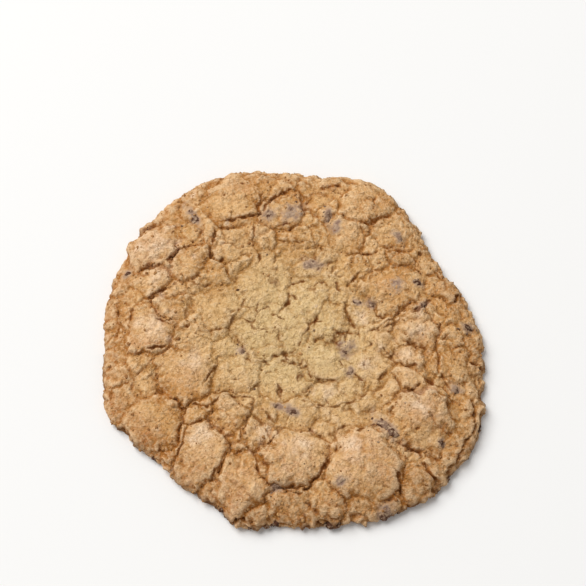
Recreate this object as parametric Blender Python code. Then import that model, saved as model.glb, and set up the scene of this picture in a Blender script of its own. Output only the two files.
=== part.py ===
"""A thin chocolate chip cookie with a crackled top, baked flat on a sheet.

The cookie is one solid of baked dough. It stands on its flat base at the origin, +Z up, with
the edge that was nearest to the viewer at -Y. Its top broke into plates while it baked, which
puffed up between the cracks, and broken chocolate is fused in level with the crust.
"""

import itertools
import math

import bmesh
import bpy
import numpy as np

MM = 0.001

# The outline: a mean radius, a little oval, with bulges and flats where the dough ran or stopped
MEAN_RADIUS = 46.2 * MM
OVAL_RISE = 2.5 * MM
OVAL_ANGLE = math.radians(137)
# Each bulge is its direction in degrees, how far it stands out, and its half width in degrees.
BULGES = (
    (64, 3.6 * MM, 15),
    (28, -2.4 * MM, 14),
    (331, 1.9 * MM, 9),
    (118, 1.0 * MM, 14),
    (268, -0.7 * MM, 12),
    (202, 3.8 * MM, 12),
    (256, 2.2 * MM, 5),
    (284, -1.1 * MM, 8),
    (313, 1.3 * MM, 9),
)

# Thicknesses of the dough, without the plates on it
CENTRE_THICKNESS = 4.9 * MM
RING_EXTRA = 0.9 * MM
RING_AT, RING_SPREAD = 0.66, 0.20
RIM_DROP = 1.3 * MM
RIM_DROP_FROM = 0.72

# The edge rounds over from the top, is widest just above the sheet, and tucks under to the base
EDGE_WIDTH = 4.2 * MM
WIDEST_AT = 1.3 * MM
BASE_INSET = 1.1 * MM

# The plates that stand out, each as x and y of its middle, half its width, and how far it
# puffed up, in mm. They are placed by eye, from the back edge to the front.
PLATES_MM = (
    (-16, 37, 6.5, 1.3), (-2.5, 33, 5.0, 0.9), (7.5, 36, 4.2, 0.9), (20, 38, 6.5, 1.2),
    (-34.5, 23.5, 5.8, 1.9), (-26, 20, 4.4, 1.3), (-15, 25, 4.5, 0.9), (0.5, 24.5, 5.0, 0.8),
    (13.5, 27.5, 4.8, 1.3), (25, 28, 5.2, 1.4), (-34.3, 14.8, 3.7, 1.2), (-6.5, 14.5, 6.0, 0.8),
    (25, 12.5, 6.6, 1.3), (36.5, 13.5, 3.6, 1.3), (-19.2, 8, 6.0, 0.9), (3.5, 10, 5.0, 0.8),
    (-35.2, 2.5, 5.7, 1.6), (-10, 2, 4.4, 0.9), (8.8, 4.0, 3.6, 0.7), (30.4, 2, 4.4, 1.5),
    (-25.5, -9.8, 6.8, 1.4), (-14, -9.5, 5.2, 1.1), (-1, -11, 4.9, 0.9), (7.2, -5, 5.2, 0.8),
    (18.2, -7.6, 4.2, 0.9), (27.4, -10.6, 3.4, 1.2), (39, -6.2, 4.2, 1.3), (-15, -20, 4.6, 1.5),
    (1.5, -18.5, 4.2, 1.0), (31, -21, 7.4, 2.0), (-33.5, -21.5, 6.6, 1.5), (-22, -29, 6.4, 1.9),
    (0, -29.5, 7.2, 2.2), (16.6, -32.2, 8.3, 2.2), (-12, -35, 6.3, 1.9), (28.5, -35, 4.6, 1.5),
    (-0.9, -0.4, 2.8, 0.8), (8, -14, 3.0, 0.9), (27.8, -4.7, 3.2, 1.3), (-30.2, 7.4, 3.4, 1.2),
    (-7.5, -23.6, 3.4, 1.4), (16.8, 5.5, 2.8, 0.8), (38.8, 0.6, 3.2, 1.2),
    (-0.8, -41.4, 3.4, 1.2), (7.4, -39.6, 4.4, 1.2), (15, -42.8, 4.0, 1.1), (24, -41, 3.6, 1.2),
)

# The small plates between them
FILL_HALF_WIDTH = (2.0 * MM, 3.6 * MM)
FILL_RISE = (0.6 * MM, 1.2 * MM)
FILL_CLOSENESS = 0.92
FILL_TRIES = 4000
FILL_SEED = 11

# A plate falls to its cracks by a steep shoulder, and by this share as one low dome.
SHOULDER = 2.2 * MM
DOME_SHARE = 0.6
LEAST_RATE = 0.4
# How far the cracks stray from straight lines: height, width, seed
STRAY = ((1.9 * MM, 9.0 * MM, 21), (0.9 * MM, 3.6 * MM, 22))
# How boldly a small plate is cut off, against 1 for a large one, and how much of a crack's shoulder
# shows where it is faintest along its length
SMALL_BOLDNESS = 0.5
FAINTEST = 0.35
FADE_SIZE, FADE_SEED = 7.0 * MM, 13
FADE_FROM_TO = (-0.35, 0.15)
# Over what width neighbouring plates blend, among how many of them, and how steeply a plate tips
PLATE_BLEND = 0.7 * MM
BLENDED_PLATES = 5
PLATE_TIP, TIP_SEED = 0.07, 12
# The plates lie lower towards the edge, by this share, between these shares of the way to it
EDGE_CALM, EDGE_CALM_FROM_TO = 0.5, (0.86, 1.0)
# and their edges are less bold towards the middle of the cookie, by this share.
MIDDLE_CALM, MIDDLE_CALM_FROM_TO = 0.45, (0.60, 0.15)
# Lumps all over the top: height, width, seed
LUMPS = ((0.40 * MM, 11.0 * MM, 31), (0.28 * MM, 3.2 * MM, 32))

# The broken chocolate that shows, each as x and y of its middle, its length and width, in mm,
# and the direction of its length in degrees
CHIPS_MM = (
    (-6.3, 32.6, 3.2, 2.8, 60), (-0.5, 33.2, 5.2, 3.4, 35), (-25.4, 32.6, 5.6, 1.7, 120),
    (8.7, 32.4, 4, 1.4, 88), (10.6, 29, 2.8, 2.3, 100), (4.5, 19.4, 3.8, 2.5, 170),
    (26.3, 26.8, 3, 1.9, 130), (-41.6, 17.3, 1.9, 1.4, 40), (25.2, 13, 2.8, 2.6, 60),
    (30.6, 14.3, 2.2, 1.7, 160), (15.5, 9.2, 2.1, 1.5, 165), (18.9, 8.6, 2, 1.6, 110),
    (42.7, 3, 2.6, 1.6, 160), (31.6, 8, 3.2, 1.5, 40), (13, -3, 3.7, 3, 75),
    (13.5, -8.8, 2.3, 1.8, 60), (-12.4, -3.6, 2.3, 1.6, 140), (39, -13, 2.5, 1.9, 150),
    (-4, -17.3, 2.4, 1.3, 170), (-0.3, -18.8, 3.3, 1.8, 150), (22.2, -22.8, 6.4, 2.3, 133),
    (35, -26.3, 1.8, 1.4, 90), (10.8, -35.5, 2.5, 1.8, 10), (-4, -37, 2.3, 1.7, 150),
    (21.3, -42, 3.6, 2.4, 60),
)
CHIP_THICKNESS = 2.2 * MM
CHIP_SHOWS = 0.45 * MM
CHIP_BLUNTNESS = 1.6
# The uneven shape of a chip: how uneven, the size of its bumps against the chip, and the seed
CHIP_ROUGHNESS, CHIP_BUMPS, CHIP_SEED = 0.16, 0.35, 41

# The size of the mesh
TOP_RINGS = 34
EDGE_RINGS = 4
TUCK_RINGS = 1
# How far a corner may move to lie on a crack, in ring spacings, the step that finds the way, and
# how much of its area each triangle keeps
LONGEST_SNAP = 0.75
PROBE = 0.05 * MM
LEAST_AREA = 0.25

# The noise repeats after this many bumps, across and up
NOISE_CELLS = (64, 64, 8)


def noise(points, size, seed):
    """Smooth random values from about -1 to 1, in bumps about size across."""
    slopes = np.random.default_rng(seed).normal(size=(*NOISE_CELLS, 3))
    cell = np.floor(points / size).astype(int)
    part = points / size - cell
    fade = part**3 * (part * (part * 6 - 15) + 10)
    total = np.zeros(len(points))
    for corner in itertools.product((0, 1), repeat=3):
        at = (cell + corner) % NOISE_CELLS
        slope = slopes[at[:, 0], at[:, 1], at[:, 2]]
        weight = np.where(corner, fade, 1 - fade).prod(axis=1)
        total += weight * ((part - corner) * slope).sum(axis=1)
    return total


def flat_noise(x, y, size, seed):
    """Noise over the plane, read between the levels of its cells, where it is liveliest."""
    return noise(np.stack([x, y, np.full_like(x, size / 3)], axis=1), size, seed)


def smooth_step(low, high, value):
    """0 below low, 1 above high, and smooth between them."""
    t = np.clip((value - low) / (high - low), 0, 1)
    return t * t * (3 - 2 * t)


def outline(angle):
    """The radius of the dough in a direction, at its widest, without the plates."""
    radius = MEAN_RADIUS + OVAL_RISE * np.cos(2 * (angle - OVAL_ANGLE))
    for direction, height, half_width in BULGES:
        turn = np.remainder(np.degrees(angle) - direction + 180, 360) - 180
        radius = radius + height * np.exp(-((turn / half_width) ** 2))
    return radius


def all_plates():
    """The plates placed by eye, then small ones thrown into the room left between them. Each is
    a row of its x, y, half width, rise, boldness and its tips in x and y.
    """
    plates = [tuple(value * MM for value in plate) for plate in PLATES_MM]
    draw = np.random.default_rng(FILL_SEED)
    for _ in range(FILL_TRIES):
        angle = draw.uniform(0, math.tau)
        radius = outline(angle) * math.sqrt(draw.uniform())
        half_width = draw.uniform(*FILL_HALF_WIDTH)
        rise = draw.uniform(*FILL_RISE)
        x, y = radius * math.cos(angle), radius * math.sin(angle)
        if all(
            math.hypot(x - px, y - py) > FILL_CLOSENESS * (half_width + half)
            for px, py, half, _ in plates
        ):
            plates.append((x, y, half_width, rise))
    boldness = np.where(np.arange(len(plates)) < len(PLATES_MM), 1, SMALL_BOLDNESS)
    tips = np.random.default_rng(TIP_SEED).normal(0, PLATE_TIP, (len(plates), 2))
    return np.column_stack([plates, boldness, tips])


def cracked(x, y, plates):
    """How far each point is from the nearest crack, how high its plate stands there, how boldly
    it is cut off, its half width, how much of the crack shows there, and which plate it is.
    """
    for height, size, seed in STRAY:
        aside, ahead = flat_noise(x, y, size, seed), flat_noise(x, y, size, seed + 50)
        x, y = x + height * aside, y + height * ahead
    away = np.stack([x, y], axis=1)[:, None] - plates[:, :2]
    nearness = np.linalg.norm(away, axis=2) - plates[:, 2]
    near = np.argsort(nearness, axis=1)[:, :BLENDED_PLATES]
    nearness = np.take_along_axis(nearness, near, 1)
    away = np.take_along_axis(away, near[:, :, None], 1)
    way = away / np.linalg.norm(away, axis=2, keepdims=True)
    # Two nearness fields drift apart at this rate, which turns their difference to metres.
    rate = np.linalg.norm(way[:, 1:] - way[:, :1], axis=2).clip(LEAST_RATE)
    gap = ((nearness[:, 1:] - nearness[:, :1]) / rate).min(axis=1)

    weight = np.exp((nearness[:, :1] - nearness) / PLATE_BLEND)
    weight /= weight.sum(axis=1, keepdims=True)
    _x, _y, half_width, rise, boldness, tip_x, tip_y = np.moveaxis(plates[near], 2, 0)
    height = rise + tip_x * away[:, :, 0] + tip_y * away[:, :, 1]
    blended = [(weight * each).sum(axis=1) for each in (height, boldness, half_width)]
    shows = smooth_step(*FADE_FROM_TO, flat_noise(x, y, FADE_SIZE, FADE_SEED))
    return gap, *blended, FAINTEST + (1 - FAINTEST) * shows, near[:, 0]


def roundover(gap, width):
    """How far a rounded edge has fallen: 1 at a crack, and 0 from this width away."""
    return 1 - np.sqrt(1 - (1 - np.clip(gap / width, 0, 1)) ** 2)


def relief(x, y, plates):
    """The height of the plates and lumps over the plain dough."""
    gap, rise, boldness, half_width, shows, _own = cracked(x, y, plates)
    share = np.hypot(x, y) / outline(np.arctan2(y, x))
    boldness = boldness * (1 - MIDDLE_CALM * smooth_step(*MIDDLE_CALM_FROM_TO, share))
    dome = DOME_SHARE * roundover(gap, half_width)
    shoulder = (1 - DOME_SHARE) * shows * roundover(gap, SHOULDER)
    height = rise * (1 - boldness * (dome + shoulder))
    for bump, size, seed in LUMPS:
        height = height + bump * flat_noise(x, y, size, seed)
    return height * (1 - EDGE_CALM * smooth_step(*EDGE_CALM_FROM_TO, share))


def thickness(share):
    """The plain dough's thickness at a share of the way from the middle to the edge."""
    ring = RING_EXTRA * np.exp(-(((share - RING_AT) / RING_SPREAD) ** 2))
    return CENTRE_THICKNESS + ring - RIM_DROP * smooth_step(RIM_DROP_FROM, 1, share)


def dough_points(radius, angle, tilt, plates):
    """Points of the crust. Tilt is 0 where the crust faces up and a right angle at the edge."""
    x, y = radius * np.cos(angle), radius * np.sin(angle)
    body = thickness(radius / outline(angle))
    height = relief(x, y, plates)
    reach = radius + height * np.sin(tilt)
    z = WIDEST_AT + (body - WIDEST_AT + height) * np.cos(tilt)
    return np.stack([reach * np.cos(angle), reach * np.sin(angle), z], axis=1)


def way_to_crack(radius, angle, on_edge, plates):
    """The plate of each corner, and the moves outwards and round that bring the corner onto the
    nearest crack. A corner of the edge only moves round.
    """

    def distance(out, turn):
        at = angle + turn / np.maximum(radius, PROBE)
        x, y = (radius + out) * np.cos(at), (radius + out) * np.sin(at)
        gap, *_rest, own = cracked(x, y, plates)
        return gap, own

    here, own = distance(0, 0)
    outward = (distance(PROBE, 0)[0] - distance(-PROBE, 0)[0]) / (2 * PROBE)
    round_it = (distance(0, PROBE)[0] - distance(0, -PROBE)[0]) / (2 * PROBE)
    outward = np.where(on_edge, 0, outward)
    steepness = np.maximum(outward**2 + round_it**2, LEAST_RATE**2)
    return own, -here * outward / steepness, -here * round_it / steepness


def snap_to_cracks(radius, angle, on_edge, faces, spacing, plates):
    """Where a side of a triangle crosses a crack, moves its nearer end onto the crack, so that
    cracks are sharp and unbroken in the mesh.
    """
    own, out, turn = way_to_crack(radius, angle, on_edge, plates)
    length = np.hypot(out, turn)
    last = len(radius)
    sides = {tuple(sorted(pair)) for a, b, c in faces for pair in ((a, b), (b, c), (c, a))}
    crossing = [(a, b) for a, b in sides if b < last and own[a] != own[b]]
    crossing.sort(key=lambda side: (min(length[side[0]], length[side[1]]), side))
    moved = np.zeros(last, bool)
    for a, b in crossing:
        nearer = a if length[a] < length[b] else b
        if not (moved[a] or moved[b]) and length[nearer] < LONGEST_SNAP * spacing:
            moved[nearer] = True
    new_radius, new_angle = radius, angle
    for _ in range(2):
        _own, out, turn = way_to_crack(new_radius, new_angle, on_edge, plates)
        short = moved & (np.hypot(out, turn) < LONGEST_SNAP * spacing)
        new_radius = new_radius + np.where(short, out, 0)
        new_angle = new_angle + np.where(short, turn / np.maximum(new_radius, PROBE), 0)

    # A move that would squeeze a triangle flat or turn it over is taken back.
    crust = np.array([face for face in faces if max(face) < last])
    plain = areas(radius, angle, crust)
    squeezed = np.ones(1)
    while len(squeezed):
        new_radius = np.where(moved, new_radius, radius)
        new_angle = np.where(moved, new_angle, angle)
        now = areas(new_radius, new_angle, crust)
        squeezed = crust[(now < LEAST_AREA * plain) & moved[crust].any(axis=1)]
        moved[squeezed] = False
    return new_radius, new_angle


def areas(radius, angle, faces):
    """Twice the area of each triangle, seen from above."""
    at = np.stack([radius * np.cos(angle), radius * np.sin(angle)], axis=1)
    one, two = at[faces[:, 1]] - at[faces[:, 0]], at[faces[:, 2]] - at[faces[:, 0]]
    return one[:, 0] * two[:, 1] - one[:, 1] * two[:, 0]


def stitch(inner, outer):
    """Triangles between two rings of corners that run the same way round."""
    faces = []
    i = j = 0
    while i < len(inner) or j < len(outer):
        if j * len(inner) <= i * len(outer) and j < len(outer):
            faces.append((inner[i % len(inner)], outer[j], outer[(j + 1) % len(outer)]))
            j += 1
        else:
            faces.append((inner[i], outer[j % len(outer)], inner[(i + 1) % len(inner)]))
            i += 1
    return [face for face in faces if len(set(face)) == 3]


def dough_mesh(plates):
    """The cookie without its chocolate: rings of corners from the middle of the top outwards,
    over the edge and under to the base. Each ring of the top has six corners more than the last.
    """
    spacing = (MEAN_RADIUS - EDGE_WIDTH) / TOP_RINGS
    angle_rings, radius_rings, tilt_rings = [], [], []
    for ring in range(TOP_RINGS + 1):
        angle = np.linspace(0, math.tau, max(1, 6 * ring), endpoint=False)
        angle_rings.append(angle)
        radius_rings.append(ring / TOP_RINGS * (outline(angle) - EDGE_WIDTH))
        tilt_rings.append(np.zeros_like(angle))
    for ring in range(1, EDGE_RINGS + 1):
        tilt = math.pi / 2 * ring / EDGE_RINGS
        angle_rings.append(angle)
        radius_rings.append(outline(angle) - EDGE_WIDTH * (1 - math.sin(tilt)))
        tilt_rings.append(np.full_like(angle, tilt))
    under_rings = TUCK_RINGS + 1
    ends = np.cumsum([0] + [len(ring) for ring in angle_rings] + [len(angle)] * under_rings)
    rings = [list(range(start, end)) for start, end in zip(ends, ends[1:])]
    faces = [face for inner, outer in zip(rings, rings[1:]) for face in stitch(inner, outer)]

    radius, angle, tilt = map(np.concatenate, (radius_rings, angle_rings, tilt_rings))
    on_edge = np.arange(len(radius)) >= rings[TOP_RINGS][0]
    radius, angle = snap_to_cracks(radius, angle, on_edge, faces, spacing, plates)
    crust = dough_points(radius, angle, tilt, plates)

    widest = crust[rings[TOP_RINGS + EDGE_RINGS]]
    foot_angle = np.arctan2(widest[:, 1], widest[:, 0])
    foot_radius = outline(foot_angle) - BASE_INSET
    foot_xy = foot_radius[:, None] * np.stack([np.cos(foot_angle), np.sin(foot_angle)], axis=1)
    foot = np.column_stack([foot_xy, np.zeros(len(foot_xy))])
    shares = [ring / under_rings for ring in range(1, under_rings + 1)]
    under = [widest * (1 - share) + foot * share for share in shares]

    mesh = bpy.data.meshes.new("cookie")
    faces.append(tuple(reversed(rings[-1])))
    mesh.from_pydata(np.concatenate([crust, *under]).tolist(), [], faces)
    mesh.validate()
    mesh.shade_smooth()
    return mesh


def top_height(x, y, plates):
    """The height of the top at one point."""
    radius, angle = np.array([math.hypot(x, y)]), np.array([math.atan2(y, x)])
    past_top = np.clip(1 - (outline(angle) - radius) / EDGE_WIDTH, 0, 1)
    return float(dough_points(radius, angle, np.arcsin(past_top), plates)[0, 2])


def chip(number, x, y, length, width, turn, plates, collection, material):
    """One piece of broken chocolate: an uneven lump, melted flat on top and sunk in the crust."""
    build = bmesh.new()
    bmesh.ops.create_icosphere(build, subdivisions=2, radius=0.5)
    corners = np.array([corner.co[:] for corner in build.verts])
    uneven = 1 + CHIP_ROUGHNESS * noise(corners + number, CHIP_BUMPS, CHIP_SEED)
    for corner, factor in zip(build.verts, uneven):
        corner.co.x *= factor * length
        corner.co.y *= factor * width
        corner.co.z = max(-0.5, min(0.5, CHIP_BLUNTNESS * factor * corner.co.z)) * CHIP_THICKNESS
    mesh = bpy.data.meshes.new(f"chip_{number}")
    build.to_mesh(mesh)
    build.free()
    mesh.materials.append(material)
    lump = bpy.data.objects.new(f"chip_{number}", mesh)
    height = top_height(x, y, plates)
    lump.location = (x, y, height + CHIP_SHOWS - CHIP_THICKNESS / 2)
    lump.rotation_euler.z = math.radians(turn)
    collection.objects.link(lump)


def plain_material(name, colour, roughness):
    material = bpy.data.materials.new(name)
    material.use_nodes = True
    shader = material.node_tree.nodes["Principled BSDF"]
    shader.inputs["Base Color"].default_value = (*colour, 1)
    shader.inputs["Roughness"].default_value = roughness
    material.diffuse_color = (*colour, 1)
    return material


def fuse(body, collection):
    """Joins the collection's lumps to the body in one union, and removes them."""
    union = body.modifiers.new("fuse_chips", "BOOLEAN")
    union.operation = "UNION"
    union.operand_type = "COLLECTION"
    union.collection = collection
    union.solver = "EXACT"
    union.material_mode = "TRANSFER"
    bpy.context.view_layer.objects.active = body
    bpy.ops.object.modifier_apply(modifier=union.name)
    for lump in list(collection.objects):
        bpy.data.objects.remove(lump)
    bpy.data.collections.remove(collection)


def centre_on_box(body):
    """Moves the mesh so that the middle of its box stands over the origin."""
    corners = np.array([corner.co[:] for corner in body.data.vertices])
    middle = (corners.min(axis=0) + corners.max(axis=0)) / 2
    for corner in body.data.vertices:
        corner.co.x -= middle[0]
        corner.co.y -= middle[1]


def main():
    for leftover in list(bpy.data.objects):
        bpy.data.objects.remove(leftover)
    plates = all_plates()
    body = bpy.data.objects.new("cookie", dough_mesh(plates))
    body.data.materials.append(plain_material("baked_dough", (0.52, 0.31, 0.14), 0.85))
    bpy.context.scene.collection.objects.link(body)

    chocolate = plain_material("chocolate", (0.10, 0.05, 0.04), 0.6)
    chips = bpy.data.collections.new("chips")
    bpy.context.scene.collection.children.link(chips)
    for number, (x, y, length, width, turn) in enumerate(CHIPS_MM):
        chip(number, x * MM, y * MM, length * MM, width * MM, turn, plates, chips, chocolate)
    fuse(body, chips)
    centre_on_box(body)


main()
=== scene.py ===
"""The looks of a thin chocolate chip cookie with a crackled top, lying on a pale table."""

import itertools
import math

import bmesh
import bpy
import numpy as np
from mathutils import Matrix, Vector


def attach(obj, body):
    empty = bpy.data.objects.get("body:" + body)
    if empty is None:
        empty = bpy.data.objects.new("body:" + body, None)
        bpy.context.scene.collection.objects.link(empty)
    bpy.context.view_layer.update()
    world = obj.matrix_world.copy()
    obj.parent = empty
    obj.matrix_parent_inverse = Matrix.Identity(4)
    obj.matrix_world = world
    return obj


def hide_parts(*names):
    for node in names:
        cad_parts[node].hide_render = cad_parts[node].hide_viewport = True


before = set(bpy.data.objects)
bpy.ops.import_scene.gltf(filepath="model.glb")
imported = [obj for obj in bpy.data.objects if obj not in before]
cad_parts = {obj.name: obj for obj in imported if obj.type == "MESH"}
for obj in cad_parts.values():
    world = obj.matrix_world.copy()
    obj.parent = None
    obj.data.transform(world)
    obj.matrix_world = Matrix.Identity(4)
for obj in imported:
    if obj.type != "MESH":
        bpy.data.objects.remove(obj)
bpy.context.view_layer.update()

MM = 0.001


# The baked dough: a thin drop cookie of flour, butter and brown sugar. In the oven it spread to
# a round, its crust set and broke into plates, and the dough underneath puffed them up. The rim
# is thin, dry and browned, and the base is flat from the baking sheet.

MEAN_RADIUS = 46.2 * MM
OVAL_RISE = 2.5 * MM
OVAL_ANGLE = math.radians(137)
# Each bulge is its direction in degrees, how far it stands out, and its half width in degrees.
BULGES = (
    (64, 3.6 * MM, 15),
    (28, -2.4 * MM, 14),
    (331, 1.9 * MM, 9),
    (118, 1.0 * MM, 14),
    (268, -0.7 * MM, 12),
    (202, 3.8 * MM, 12),
    (256, 2.2 * MM, 5),
    (284, -1.1 * MM, 8),
    (313, 1.3 * MM, 9),
)
CENTRE_THICKNESS = 4.9 * MM
RING_EXTRA = 0.9 * MM
RING_AT, RING_SPREAD = 0.66, 0.20
RIM_DROP = 1.3 * MM
RIM_DROP_FROM = 0.72
EDGE_WIDTH = 4.2 * MM
WIDEST_AT = 1.3 * MM
BASE_INSET = 1.1 * MM

# The plates that stand out, each as x and y of its middle, half its width, and how far it
# puffed up, in mm: the larger ones from the back to the front, then smaller ones beside them
PLATES_MM = (
    (-16, 37, 6.5, 1.3), (-2.5, 33, 5.0, 0.9), (7.5, 36, 4.2, 0.9), (20, 38, 6.5, 1.2),
    (-34.5, 23.5, 5.8, 1.9), (-26, 20, 4.4, 1.3), (-15, 25, 4.5, 0.9), (0.5, 24.5, 5.0, 0.8),
    (13.5, 27.5, 4.8, 1.3), (25, 28, 5.2, 1.4), (-34.3, 14.8, 3.7, 1.2), (-6.5, 14.5, 6.0, 0.8),
    (25, 12.5, 6.6, 1.3), (36.5, 13.5, 3.6, 1.3), (-19.2, 8, 6.0, 0.9), (3.5, 10, 5.0, 0.8),
    (-35.2, 2.5, 5.7, 1.6), (-10, 2, 4.4, 0.9), (8.8, 4.0, 3.6, 0.7), (30.4, 2, 4.4, 1.5),
    (-25.5, -9.8, 6.8, 1.4), (-14, -9.5, 5.2, 1.1), (-1, -11, 4.9, 0.9), (7.2, -5, 5.2, 0.8),
    (18.2, -7.6, 4.2, 0.9), (27.4, -10.6, 3.4, 1.2), (39, -6.2, 4.2, 1.3), (-15, -20, 4.6, 1.5),
    (1.5, -18.5, 4.2, 1.0), (31, -21, 7.4, 2.0), (-33.5, -21.5, 6.6, 1.5), (-22, -29, 6.4, 1.9),
    (0, -29.5, 7.2, 2.2), (16.6, -32.2, 8.3, 2.2), (-12, -35, 6.3, 1.9), (28.5, -35, 4.6, 1.5),
    (-0.9, -0.4, 2.8, 0.8), (8, -14, 3.0, 0.9), (27.8, -4.7, 3.2, 1.3), (-30.2, 7.4, 3.4, 1.2),
    (-7.5, -23.6, 3.4, 1.4), (16.8, 5.5, 2.8, 0.8), (38.8, 0.6, 3.2, 1.2),
    (-0.8, -41.4, 3.4, 1.2), (7.4, -39.6, 4.4, 1.2), (15, -42.8, 4.0, 1.1), (24, -41, 3.6, 1.2),
)
FILL_HALF_WIDTH = (2.0 * MM, 3.6 * MM)
FILL_RISE = (0.6 * MM, 1.2 * MM)
FILL_CLOSENESS = 0.92
FILL_TRIES = 4000
FILL_SEED = 11

# A plate falls to its cracks by a steep shoulder, and by this share as one low dome.
SHOULDER = 1.7 * MM
DOME_SHARE = 0.6
LEAST_RATE = 0.4
# Cracks stray sideways, and lumps stand on the plates, each by a height, size and seed.
STRAY = ((1.9 * MM, 9.0 * MM, 21), (0.9 * MM, 3.6 * MM, 22))
LUMPS = ((0.40 * MM, 11.0 * MM, 31), (0.28 * MM, 3.2 * MM, 32))
# The plates are lower at the edge, and their shoulders less bold in the middle of the cookie, by
# these shares, from one share of the way to the edge to another.
EDGE_CALM, EDGE_CALM_FROM_TO = 0.5, (0.86, 1.0)
MIDDLE_CALM, MIDDLE_CALM_FROM_TO = 0.45, (0.60, 0.15)

# How boldly the crack beside a small plate shows, against 1 beside a large one, how it fades
# along its length, over what width neighbouring plates blend, and how far a plate tips
SMALL_BOLDNESS = 0.5
FADE_SIZE, FADE_SEED = 7.0 * MM, 13
FAINTEST, FADE_FROM_TO = 0.35, (-0.35, 0.15)
PLATE_BLEND, PLATES_BLENDED = 0.7 * MM, 5
PLATE_TIP, TIP_SEED = 0.07, 12

NOISE_CELLS = (64, 64, 8)


def noise(points, size, seed):
    """Smooth random values from about -1 to 1, in bumps about size across."""
    slopes = np.random.default_rng(seed).normal(size=(*NOISE_CELLS, 3))
    cell = np.floor(points / size).astype(int)
    part = points / size - cell
    fade = part**3 * (part * (part * 6 - 15) + 10)
    total = np.zeros(len(points))
    for corner in itertools.product((0, 1), repeat=3):
        at = (cell + corner) % NOISE_CELLS
        slope = slopes[at[:, 0], at[:, 1], at[:, 2]]
        weight = np.where(corner, fade, 1 - fade).prod(axis=1)
        total += weight * ((part - corner) * slope).sum(axis=1)
    return total


def flat_noise(x, y, size, seed):
    """Noise over the plane, read between the levels of its cells, where it is liveliest."""
    return noise(np.stack([x, y, np.full_like(x, size / 3)], axis=1), size, seed)


def nearest_cells(points, size, seed):
    """Distances from each point to the nearest two of random dots, one dot for each cell of that
    size, and a random share that belongs to the nearest dot.
    """
    draw = np.random.default_rng(seed)
    dots, shares = draw.uniform(size=(*NOISE_CELLS, 3)), draw.uniform(size=NOISE_CELLS)
    scaled = points / size
    cell = np.floor(scaled).astype(int)
    first = np.full(len(points), 9.0)
    second, own = first.copy(), first.copy()
    for offset in itertools.product((-1, 0, 1), repeat=3):
        at = (cell + offset) % NOISE_CELLS
        dot = cell + offset + dots[at[:, 0], at[:, 1], at[:, 2]]
        reach = np.linalg.norm(scaled - dot, axis=1)
        second = np.where(reach < first, first, np.minimum(second, reach))
        own = np.where(reach < first, shares[at[:, 0], at[:, 1], at[:, 2]], own)
        first = np.minimum(first, reach)
    return first * size, second * size, own


def smooth_step(low, high, value):
    """0 below low, 1 above high, and smooth between them."""
    t = np.clip((value - low) / (high - low), 0, 1)
    return t * t * (3 - 2 * t)


def bump(width, value):
    """1 at a value of 0, falling smoothly to almost 0 at twice the width."""
    return np.exp(-((value / width) ** 2))


def outline(angle):
    """The radius of the dough in a direction, at its widest, without the plates."""
    radius = MEAN_RADIUS + OVAL_RISE * np.cos(2 * (angle - OVAL_ANGLE))
    for direction, height, half_width in BULGES:
        turn = np.remainder(np.degrees(angle) - direction + 180, 360) - 180
        radius = radius + height * np.exp(-((turn / half_width) ** 2))
    return radius


def all_plates():
    """The plates that stand out, then small ones thrown into the room left between them. Each
    gets a boldness for the cracks round it and a tip in x and y.
    """
    plates = [tuple(value * MM for value in plate) for plate in PLATES_MM]
    draw = np.random.default_rng(FILL_SEED)
    for _ in range(FILL_TRIES):
        angle = draw.uniform(0, math.tau)
        radius = outline(angle) * math.sqrt(draw.uniform())
        half_width = draw.uniform(*FILL_HALF_WIDTH)
        rise = draw.uniform(*FILL_RISE)
        x, y = radius * math.cos(angle), radius * math.sin(angle)
        if all(
            math.hypot(x - px, y - py) > FILL_CLOSENESS * (half_width + half)
            for px, py, half, _ in plates
        ):
            plates.append((x, y, half_width, rise))
    boldness = np.where(np.arange(len(plates)) < len(PLATES_MM), 1, SMALL_BOLDNESS)
    tips = np.random.default_rng(TIP_SEED).normal(0, PLATE_TIP, (len(plates), 2))
    return np.column_stack([plates, boldness, tips])


def cracked(x, y, plates):
    """How far each point is from the nearest crack, how high its plate stands there, how boldly
    it is cut off, its half width, and how much of the crack shows there.
    """
    for height, size, seed in STRAY:
        aside, ahead = flat_noise(x, y, size, seed), flat_noise(x, y, size, seed + 50)
        x, y = x + height * aside, y + height * ahead
    away = np.stack([x, y], 1)[:, None] - plates[:, :2]
    reach = np.linalg.norm(away, axis=2)
    nearness = reach - plates[:, 2]
    near = np.argsort(nearness, axis=1)[:, :PLATES_BLENDED]
    away, reach, nearness = (
        np.take_along_axis(each, near[:, :, None] if each.ndim == 3 else near, 1)
        for each in (away, reach, nearness)
    )
    way = away / reach[:, :, None]
    # Two nearness fields drift apart at this rate, which turns their difference to metres.
    rate = np.linalg.norm(way[:, 1:] - way[:, :1], axis=2).clip(LEAST_RATE)
    gap = ((nearness[:, 1:] - nearness[:, :1]) / rate).min(axis=1)
    weight = np.exp((nearness[:, :1] - nearness) / PLATE_BLEND)
    weight /= weight.sum(axis=1, keepdims=True)
    found = plates[near]
    height = found[:, :, 3] + (found[:, :, 5:7] * away).sum(axis=2)
    blended = (weight[:, :, None] * np.stack([height, found[:, :, 4], found[:, :, 2]], 2)).sum(1)
    shows = smooth_step(*FADE_FROM_TO, flat_noise(x, y, FADE_SIZE, FADE_SEED))
    return gap, *blended.T, FAINTEST + (1 - FAINTEST) * shows


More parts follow.
